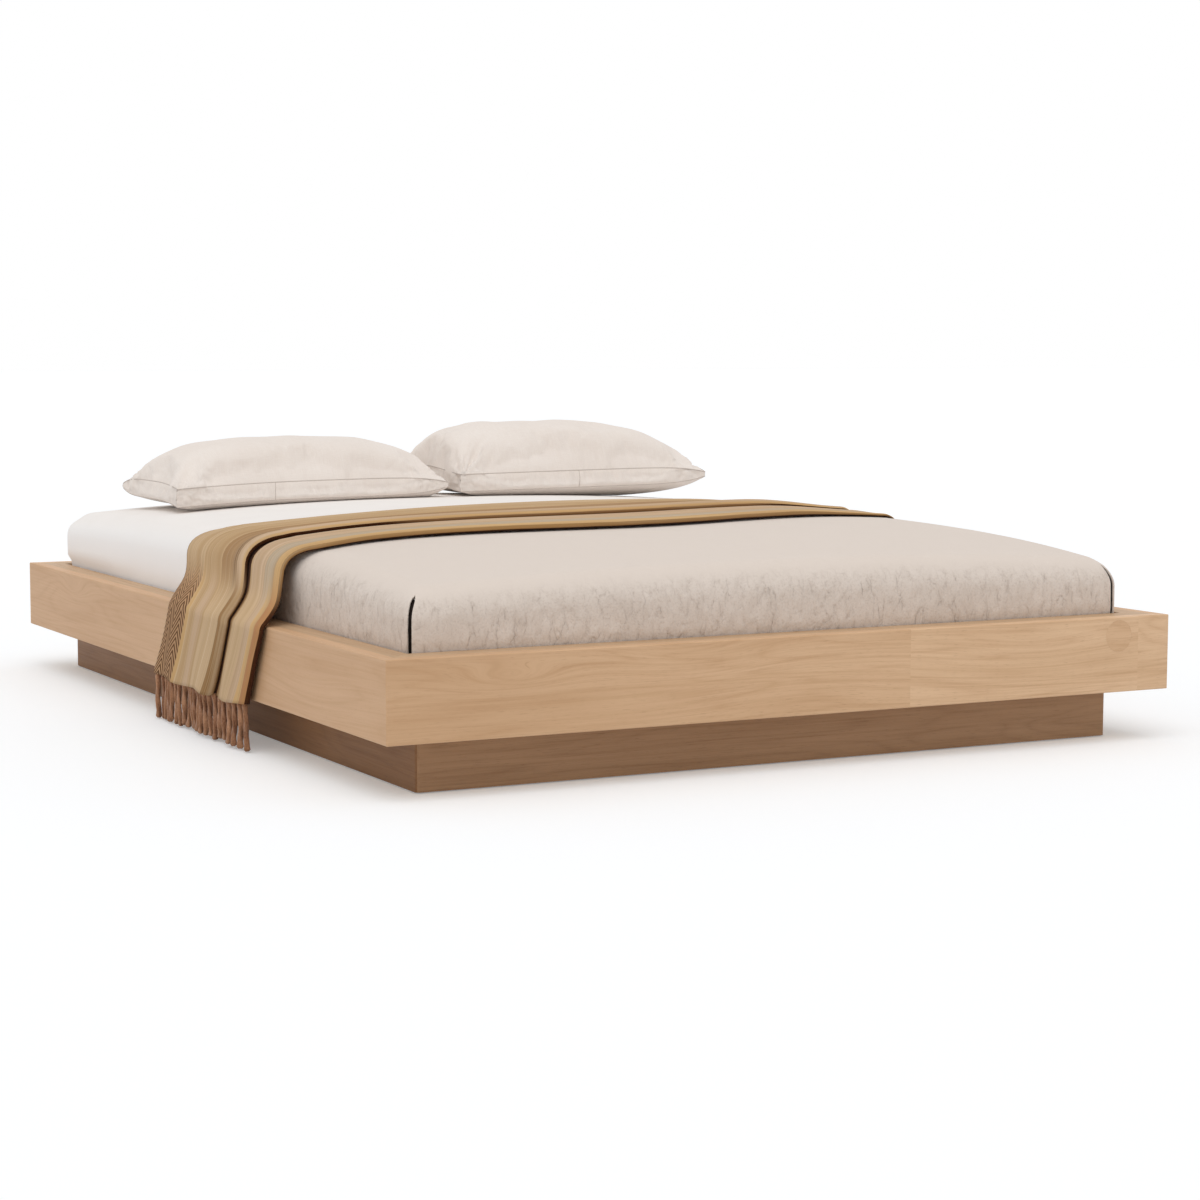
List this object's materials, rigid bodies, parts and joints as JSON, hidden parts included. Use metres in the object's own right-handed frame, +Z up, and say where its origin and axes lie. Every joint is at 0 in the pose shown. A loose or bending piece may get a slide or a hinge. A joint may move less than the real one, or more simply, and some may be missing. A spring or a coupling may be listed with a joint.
{
  "type": "platform bed",
  "caption": "Low-profile platform bed: boxed oak rail with a ledge round a recessed mattress on a set-back plinth, dressed with sheet, coverlet, fringed throw and pillows.",
  "frame": {"origin": "on the floor under the middle of the bed", "axes": "+X to the right seen from the foot, +Y towards the head, +Z up"},
  "size_m": [1.728, 2.188, 0.5807],
  "materials": {
    "oak": "satin",
    "pine": "matte",
    "zinc_steel": "satin",
    "felt": "matte",
    "ticking": "matte",
    "white_cotton": "matte",
    "coverlet_cloth": "matte",
    "striped_wool": "matte",
    "fringe_yarn": "matte",
    "pillow_linen": "matte"
  },
  "bodies": {
    "bed_frame": {"fascia_foot": "oak", "fascia_right": "oak", "fascia_head": "oak", "fascia_left": "oak", "cap_foot": "oak", "cap_right": "oak", "cap_head": "oak", "cap_left": "oak", "liner_foot": "oak", "liner_right": "oak", "liner_head": "oak", "liner_left": "oak", "bearer_foot": "pine", "bearer_right": "pine", "bearer_head": "pine", "bearer_left": "pine", "corner_key_foot_left": "pine", "corner_key_foot_right": "pine", "corner_key_head_left": "pine", "corner_key_head_right": "pine", "wood_patch": "oak", "plinth_foot": "oak", "plinth_right": "oak", "plinth_head": "oak", "plinth_left": "oak", "post_foot_left": "pine", "post_foot_right": "pine", "post_head_left": "pine", "post_head_right": "pine", "plinth_spine": "pine", "cross_board_foot": "pine", "cross_board_head": "pine", "centre_bearer": "pine", "slat_1": "pine", "slat_2": "pine", "slat_3": "pine", "slat_4": "pine", "slat_5": "pine", "slat_6": "pine", "slat_7": "pine", "slat_8": "pine", "slat_9": "pine", "slat_10": "pine", "slat_11": "pine", "slat_12": "pine", "slat_13": "pine", "slat_14": "pine", "slat_screws": "zinc_steel", "platform_bolts": "zinc_steel", "floor_pads": "felt"},
    "mattress": {"mattress": "ticking", "fitted_sheet": "white_cotton", "coverlet": "coverlet_cloth"},
    "throw": {"throw": "striped_wool", "fringe_left": "fringe_yarn", "fringe_right": "fringe_yarn"},
    "pillow_left": {"pillow_left": "pillow_linen"},
    "pillow_right": {"pillow_right": "pillow_linen"}
  },
  "joints": [
    {"name": "mattress_lift", "type": "slide", "parent": "bed_frame", "child": "mattress", "axis": [0, 0, 1], "range_m": [0, 0.25]},
    {"name": "throw_lift", "type": "slide", "parent": "mattress", "child": "throw", "axis": [0, 0, 1], "range_m": [0, 0.35]},
    {"name": "pillow_left_lift", "type": "slide", "parent": "mattress", "child": "pillow_left", "axis": [0, 0, 1], "range_m": [0, 0.3]},
    {"name": "pillow_right_lift", "type": "slide", "parent": "mattress", "child": "pillow_right", "axis": [0, 0, 1], "range_m": [0, 0.3]}
  ]
}
